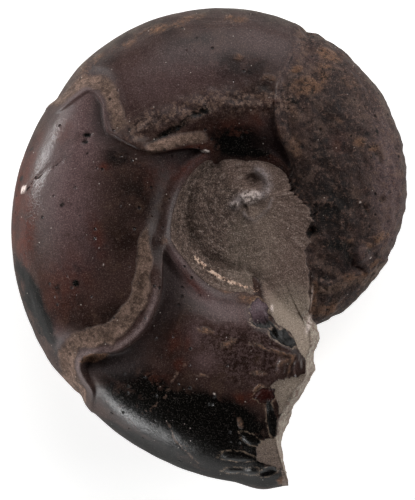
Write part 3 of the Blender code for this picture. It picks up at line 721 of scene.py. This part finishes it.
# Painted shade: the groove along the wall and the mud on the wall are darkened.
fields["groove_and_wall_shade"] = np.maximum(band(GROOVE_PATH, 0.75), 0.8 * wall_mud)
pale_spot = smooth_step((1.9 - oval(plan_x, plan_y, 5.2, -12.6, 2.2, 3.0, 20)) / 1.3)
tip_part = smooth_step((-plan_y - 23.0) / 3.0)
fields["pale_mud"] = is_upper * np.maximum(pale_spot, pale_margin * (1.0 - 0.6 * tip_part))
fields["pale_mud"] = np.maximum(fields["pale_mud"], 0.30 * patch(0.6, -5.0, 4.6, 2.6, 80, 1.5, 0.9))
fields["furrow"] = np.maximum(furrow, tan_ridge)
# Painted highlight: the bare slope behind each lip and the umbilical shoulder.
fields["slope_highlight"] = np.maximum(slope_highlight, 0.45 * shoulder_highlight)
fields["lobe"] = lobe_field * is_upper * on_coil - (1.0 - is_upper * on_coil)
fields["purple_lobe"] = smooth_step(lobe_fields["purple"] / 0.12)
fields["red_lobe"] = smooth_step(lobe_fields["red"] / 0.12)
fields["inner_whorl"] = np.maximum(inner_arc, 0.7 * inner_ring)
fields.update(recess=recess, broken=face_part, debris=debris, chips=chips, crack=crack, scratch=scratch)
fields.update(crust=crust, rough=roughened, mottled=mottled)
# Painted sheen: the rim is tinted grey, less so past 150 degrees.
fields["rim"] = smooth_step((across - 0.93) / 0.07) * on_coil
fields["rim"] *= 1.0 - 0.85 * smooth_step((angle - radians(150)) / 0.5)
fields["edge"] = np.maximum(smooth_step((across - 0.87) / 0.13), 0.8 * matt_wall) * on_coil
for name, field in fields.items():
    paint(skin, name, field)
turned_place = np.stack([np.cos(angle), np.sin(angle), radius / (10.0 * MM)])
layer = skin.attributes.new("round_place", "FLOAT_VECTOR", "POINT")
rings = turned_place[:, :, 1:-1].transpose(0, 2, 1).reshape(3, -1)
poles = turned_place[:, :, (0, -1)].mean(axis=1)
layer.data.foreach_set("vector", np.concatenate([poles[:, :1], rings, poles[:, 1:]], axis=1).T.ravel())


# The stone's finish.
# Iron oxides stain the mudstone from near black to red-brown, with a purple tone that is lightened as a
# painted sheen where it is polished. Black is also laid as painted shade, and recesses and grooves get
# painted shade; the lip slopes, the shoulder and the rim get painted highlights. Pale tan mud sits in the
# furrows, dust and fine pits cover all of it, and the sediment is matt and grey.
dark_stone = bpy.data.materials.new("dark_stone_finish")
dark_stone.use_nodes = True
tree = dark_stone.node_tree


def put(kind, sockets, **settings):
    """Add a node to the tree in hand, set its options, and fill its sockets with values or outputs."""
    item = tree.nodes.new("ShaderNode" + kind)
    for name, value in settings.items():
        setattr(item, name, value)
    for socket, value in sockets.items():
        if isinstance(value, bpy.types.NodeSocket):
            tree.links.new(value, item.inputs[socket])
        else:
            item.inputs[socket].default_value = value
    return item


def figure(operation, first, second=0.0):
    """One sum on two numbers or outputs, kept from 0 to 1."""
    return put("Math", {0: first, 1: second}, operation=operation, use_clamp=True).outputs[0]


def times(first, second):
    """Two numbers or outputs multiplied, kept from 0 to 1."""
    return figure("MULTIPLY", first, second)


def ease(value, low, high):
    """0 below low, 1 above high, eased between."""
    sockets = {"Value": value, "From Min": low, "From Max": high}
    return put("MapRange", sockets, interpolation_type="SMOOTHSTEP").outputs["Result"]


def tint(share, under, over, mode="MIX"):
    """Mix of two colours, or the under one where the share is 0."""
    colours = {0: share, 6: under if hasattr(under, "node") else (*under, 1.0)}
    colours[7] = over if hasattr(over, "node") else (*over, 1.0)
    return put("Mix", colours, data_type="RGBA", blend_type=mode).outputs[2]


def mottle(place, size, detail=4.0, rough=0.6, warp=0.0):
    """Cloudy noise with blotches of the given size in millimetres."""
    sockets = {"Vector": place, "Scale": 1.0 / (size * MM), "Detail": detail, "Roughness": rough}
    sockets["Distortion"] = warp
    return put("TexNoise", sockets).outputs["Fac"]


def spots(place, spacing, outer, inner, channel, rarity):
    """Round spots about the spacing in millimetres apart, in the cells whose random number is high."""
    cell = put("TexVoronoi", {"Vector": place, "Scale": 1.0 / (spacing * MM)})
    number = put("SeparateColor", {"Color": cell.outputs["Color"]}).outputs[channel]
    spot = ease(cell.outputs["Distance"], outer, inner)
    return times(spot, ease(number, rarity, rarity + 0.04))


def blend(share, first, second):
    """Number between two: the first where the share is 0, and the second where it is 1."""
    return put("Mix", {0: share, 2: first, 3: second}, data_type="FLOAT").outputs[0]


def raise_by(base, field, height):
    """The base plus the field times the height."""
    return put("Math", {0: field, 1: height, 2: base}, operation="MULTIPLY_ADD").outputs[0]


def read(name, output="Fac"):
    """A field painted on the skin."""
    return put("Attribute", {}, attribute_name=name).outputs[output]


def streaks(place, turnwise, outwards):
    """Noise drawn out along or across the coil: how many blotches it has in a turn and in 10 mm outwards."""
    stretched = put("VectorMath", {0: place, 1: (turnwise, turnwise, outwards)}, operation="MULTIPLY")
    sockets = {"Vector": stretched.outputs[0], "Scale": 1.0, "Detail": 3.0, "Roughness": 0.6}
    return put("TexNoise", sockets).outputs["Fac"]


def patchy(name, noise, low, high, share=1.0):
    """A painted field broken up by noise eased between two levels, times a share."""
    part = times(read(name), ease(noise, low, high))
    return part if share == 1.0 else times(part, share)


def lay(ground, *coats):
    """Colours laid one over another: each coat is the share of the ground that it hides, and its colour."""
    for share, colour in coats:
        ground = tint(share, ground, colour)
    return ground


BLACK_STONE = (0.0022, 0.0018, 0.0015)
DEEP_BROWN_STONE = (0.014, 0.0070, 0.0056)
BROWN_STONE = (0.036, 0.0200, 0.0170)
RED_STONE = (0.060, 0.0125, 0.0065)
RECESS_PAINTED_SHADE = (0.0090, 0.0022, 0.0018)
SHEEN_AND_STAIN_PURPLE = (0.092, 0.057, 0.057)
MOTTLED_PURPLE = (0.080, 0.050, 0.048)
PAINTED_SLOPE_HIGHLIGHT = (0.125, 0.088, 0.086)
RIM_SHEEN_GREY = (0.080, 0.068, 0.056)
DARK_TAN_MUD = (0.050, 0.029, 0.0195)
TAN_MUD = (0.168, 0.108, 0.083)
ROUGH_TAN = (0.105, 0.060, 0.045)
DUSTY_BROWN = (0.090, 0.055, 0.043)
RUST_MUD = (0.160, 0.083, 0.050)
DARK_SEDIMENT_AND_SHADE = (0.026, 0.0165, 0.0115)
BROWN_SEDIMENT = (0.070, 0.045, 0.036)
MID_SEDIMENT = (0.150, 0.101, 0.082)
PALE_SEDIMENT = (0.215, 0.170, 0.134)
PALE_STREAK = (0.200, 0.160, 0.140)
BRIGHT_GRAIN = (0.300, 0.250, 0.225)
BROKEN_GRAIN = (0.30, 0.27, 0.22)
LOBE_OUTLINE = (0.21, 0.155, 0.115)
PURPLE_LOBE_AND_SHEEN = (0.085, 0.056, 0.064)
RED_LOBE = (0.022, 0.0045, 0.0035)
WHORL_CRUST = (0.185, 0.152, 0.148)
CRUST_WHITE = (0.55, 0.46, 0.42)
CHIP_ORANGE = (0.30, 0.135, 0.080)
CHIP_CREAM = (0.56, 0.42, 0.33)
DUST = (0.50, 0.43, 0.38)
PIT_BLACK = (0.004, 0.003, 0.003)


def stone_finish():
    """Dark stone: colours laid over one another from the painted fields, broken up by noise."""
    shader = tree.nodes["Principled BSDF"]
    place = put("TexCoord", {}).outputs["Object"]
    round_place = read("round_place", "Vector")
    clouds = mottle(place, 5.0, 5.0, 0.62, 0.4)
    patches = mottle(place, 1.6, 6.0, 0.66, 0.3)
    specks = mottle(place, 0.42, 5.0, 0.7)
    fine = mottle(place, 0.13, 3.0, 0.75)

    # Bare stone: brown over black, with the purple, red and black stains. The purple is lightened as a
    # painted sheen, the black is partly painted shade, and the recesses are painted dark as shade.
    # The recess ahead of each lip is painted near black: painted shade.
    recess = ease(read("recess"), 0.12, 0.60)
    ground = lay(tint(ease(clouds, 0.30, 0.62), DEEP_BROWN_STONE, BROWN_STONE),
                 (times(ease(patches, 0.48, 0.72), 0.5), DARK_TAN_MUD),
                 # Purple: stain and painted sheen.
                 (patchy("purple_stain_and_sheen", patches, 0.12, 0.52), SHEEN_AND_STAIN_PURPLE),
                 (patchy("red", patches, 0.30, 0.62), RED_STONE),
                 (patchy("mottled", specks, 0.44, 0.60, 0.7), MOTTLED_PURPLE),
                 (ease(patchy("black", patches, 0.80, 0.42), 0.08, 0.62), BLACK_STONE),
                 (times(recess, 0.9), RECESS_PAINTED_SHADE))

    # Tan and rusty mud in the furrows, in patches and scattered over the rough third.
    mud = tint(ease(blend(0.5, specks, patches), 0.40, 0.60), DARK_TAN_MUD, TAN_MUD)
    furrow = ease(patchy("furrow", patches, 0.12, 0.52), 0.12, 0.80)
    rust = ease(patchy("rust", patches, 0.22, 0.60), 0.12, 0.70)
    scratch = ease(patchy("scratch", specks, 0.35, 0.60), 0.2, 0.8)
    ground = lay(ground,
                 # Painted highlight on the slope behind each lip and on the umbilical shoulder.
                 (patchy("slope_highlight", specks, 0.20, 0.60, 0.8), PAINTED_SLOPE_HIGHLIGHT),
                 (furrow, mud),
                 (rust, tint(ease(specks, 0.36, 0.60), DARK_TAN_MUD, RUST_MUD)),
                 (patchy("debris", specks, 0.46, 0.58, 0.9), mud),
                 (patchy("rough", specks, 0.52, 0.66, 0.9), ROUGH_TAN),
                 (patchy("rough", specks, 0.46, 0.36, 0.75), BLACK_STONE),
                 (patchy("rough", patches, 0.50, 0.64, 0.55), DUSTY_BROWN),
                 # Painted sheen: a grey tint on the rim.
                 (patchy("rim", patches, 0.35, 0.65, 0.55), RIM_SHEEN_GREY),
                 (times(scratch, 0.5), TAN_MUD))

    # Sediment, with fine streaks along the coil on the left and outwards on the right, and painted shade in
    # the groove along the wall.
    along_coil = streaks(round_place, 2.2, 46.0)
    outwards = streaks(round_place, 26.0, 3.5)
    right_side = ease(put("SeparateXYZ", {"Vector": round_place}).outputs["X"], 0.35, 0.85)
    grains = blend(0.45, blend(right_side, along_coil, outwards), specks)
    grey = lay(tint(ease(grains, 0.34, 0.62), BROWN_SEDIMENT, MID_SEDIMENT),
               (times(ease(grains, 0.52, 0.66), 0.75), PALE_STREAK),
               (patchy("groove_and_wall_shade", specks, 0.70, 0.34), DARK_SEDIMENT_AND_SHADE),
               (patchy("pale_mud", specks, 0.10, 0.46), PALE_SEDIMENT),
               (times(ease(fine, 0.56, 0.68), 0.40), BRIGHT_GRAIN),
               (times(ease(fine, 0.42, 0.30), 0.45), DARK_SEDIMENT_AND_SHADE))
    grey_share = ease(figure("ADD", read("sediment"), times(specks, 0.30)), 0.52, 0.72)

    # The lobes along the break, each outlined by a thin pale line.
    lobe = raise_by(read("lobe"), fine, 0.16)
    lobe_share = ease(lobe, 0.07, 0.13)
    outline = times(times(ease(lobe, -0.08, 0.02), ease(lobe, 0.15, 0.08)), ease(specks, 0.42, 0.62))
    # The purple lobe's own colour is lightened as a painted sheen.
    lobe_stone = lay(BLACK_STONE, (read("purple_lobe"), PURPLE_LOBE_AND_SHEEN), (read("red_lobe"), RED_LOBE))
    ground = lay(ground, (grey_share, grey), (times(outline, 0.7), LOBE_OUTLINE), (lobe_share, lobe_stone))

    # Crust on the innermost whorl, the broken face, shell chips, the cracked rim, cream scraps, and a painted
    # glint at the third lip's inner tip.
    crack = figure("ADD", read("crack"), times(specks, 0.35))
    crack = times(ease(crack, 0.27, 0.20), ease(specks, 0.44, 0.50))
    ground = lay(ground,
                 (patchy("inner_whorl", specks, 0.30, 0.56), WHORL_CRUST),
                 (patchy("crust", specks, 0.40, 0.60), CRUST_WHITE),
                 (ease(read("broken"), 0.3, 0.7), tint(ease(specks, 0.36, 0.66), MID_SEDIMENT, BROKEN_GRAIN)),
                 (ease(patchy("chips", specks, 0.40, 0.60), 0.18, 0.55),
                  tint(ease(specks, 0.44, 0.60), CHIP_ORANGE, CHIP_CREAM)),
                 (crack, PIT_BLACK),
                 (ease(patchy("cream_and_glint", specks, 0.22, 0.50), 0.15, 0.55), CRUST_WHITE))

    # Dust specks, a dusty haze and pinholes over everything, and light and dark grain.
    dust = spots(place, 0.62, 0.14, 0.07, "Red", 0.84)
    hole = times(spots(place, 1.0, 0.22, 0.08, "Green", 0.52), figure("SUBTRACT", 1.0, grey_share))
    hole = times(hole, ease(patches, 0.44, 0.56))
    ground = lay(ground,
                 (times(dust, 0.55), DUST),
                 (times(ease(fine, 0.55, 0.75), 0.10), DUST),
                 (times(hole, 0.8), PIT_BLACK))
    span = {"Value": fine, "From Min": 0.3, "From Max": 0.7, "To Min": 0.45, "To Max": 1.60}
    shade = put("MapRange", span).outputs["Result"]
    grey_level = put("CombineXYZ", {0: shade, 1: shade, 2: shade}).outputs[0]
    tree.links.new(tint(1.0, ground, grey_level, "MULTIPLY"), shader.inputs["Base Color"])

    # Gloss: bare stone gleams, and mud, sediment, the rough third and the rim are matt.
    matt = grey_share
    rough_part = times(read("rough"), 0.6)
    for part in (furrow, rust, read("broken"), rough_part, times(recess, 0.6)):
        matt = figure("MAXIMUM", matt, part)
    dull = put("MapRange", {"Value": specks, "To Min": 0.10, "To Max": 0.30}).outputs["Result"]
    gloss = blend(read("edge"), blend(matt, dull, 0.80), 0.75)
    tree.links.new(blend(lobe_share, gloss, 0.24), shader.inputs["Roughness"])
    shader.inputs["Specular IOR Level"].default_value = 0.17

    # Fine relief: grain that is deeper where it is matt, pinholes, the crack and standing dust.
    relief = times(specks, blend(matt, 0.16, 0.95))
    relief = raise_by(relief, fine, blend(matt, 0.06, 0.35))
    for part, height in ((hole, -1.0), (crack, -0.9), (dust, 0.4)):
        relief = raise_by(relief, part, height)
    bump = put("Bump", {"Height": relief, "Strength": 1.0, "Distance": 0.16 * MM})
    tree.links.new(bump.outputs["Normal"], shader.inputs["Normal"])


stone_finish()
skin.materials.append(dark_stone)
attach(ammonite, "root")
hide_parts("ammonite")

# The floor.
# A plain pale sheet, large enough to fill every view, that the fossil lies on.
FLOOR_HALF = 1.5
floor_mesh = bpy.data.meshes.new("pale_floor")
floor_corners = [(x * FLOOR_HALF, y * FLOOR_HALF, 0.0) for x, y in ((-1, -1), (1, -1), (1, 1), (-1, 1))]
floor_mesh.from_pydata(floor_corners, [], [(0, 1, 2, 3)])
floor = bpy.data.objects.new("pale_floor", floor_mesh)
scene.collection.objects.link(floor)
floor_finish = bpy.data.materials.new("pale_floor_finish")
floor_finish.use_nodes = True
floor_shader = floor_finish.node_tree.nodes["Principled BSDF"]
for socket, value in (
    ("Base Color", (0.86, 0.86, 0.85, 1.0)), ("Roughness", 0.9),
    ("Emission Color", (1.0, 1.0, 1.0, 1.0)), ("Emission Strength", 0.65),
):
    floor_shader.inputs[socket].default_value = value
floor_mesh.materials.append(floor_finish)

# The light.
# Soft panels low round the stone, as on a copying stand, over a pale room that darkens overhead. The flat
# top stays dark that way, and the rim and the shoulders gleam.
PANELS = (
    ("left_strip", (-0.44, 0.19, 0.042), (0.18, 0.012), 1.6),
    ("left_panel", (-0.42, 0.14, 0.20), (0.34, 0.26), 0.75),
    ("front_left_strip", (-0.30, -0.36, 0.060), (0.20, 0.05), 1.3),
    ("right_panel", (0.42, 0.10, 0.18), (0.36, 0.28), 1.3),
    ("back_panel", (0.08, 0.44, 0.26), (0.50, 0.40), 1.70),
)
for name, position, size, power in PANELS:
    panel = bpy.data.lights.new(name, "AREA")
    panel.shape = "RECTANGLE"
    panel.size, panel.size_y = size
    panel.energy = power
    lamp = bpy.data.objects.new(name, panel)
    lamp.location = position
    lamp.rotation_euler = (-Vector(position)).to_track_quat("-Z", "Y").to_euler()
    scene.collection.objects.link(lamp)
room = bpy.data.worlds.new("soft_room")
room.use_nodes = True
tree = room.node_tree
direction = put("TexCoord", {}).outputs["Generated"]
upward = put("SeparateXYZ", {"Vector": direction}).outputs["Z"]
room_grey = tint(ease(upward, 0.05, 0.45), (0.40, 0.40, 0.40), (0.03, 0.03, 0.03))
tree.links.new(room_grey, tree.nodes["Background"].inputs["Color"])
scene.world = room
scene.view_settings.view_transform = "Standard"

# The camera.
# It looks down along the coil's axis, so it sees the flank square on, as the photograph does.
VIEW_HEIGHT = 51.5 * MM
CAMERA_DISTANCE = 0.80
SENSOR = 36.0
VIEW_MIDDLE = Vector((-0.155 * MM, -0.20 * MM, AXIS_PLACE[2]))
camera_data = bpy.data.cameras.new("copy_stand_camera")
camera_data.sensor_width = SENSOR
camera_data.lens = SENSOR * CAMERA_DISTANCE / VIEW_HEIGHT
camera_data.clip_start = 0.05
camera_data.clip_end = 5.0
camera = bpy.data.objects.new("copy_stand_camera", camera_data)
turned = Matrix(lean.tolist())
camera.matrix_world = Matrix.Translation(VIEW_MIDDLE + turned.col[2] * CAMERA_DISTANCE) @ turned.to_4x4()
scene.collection.objects.link(camera)
scene.camera = camera

bpy.context.view_layer.update()
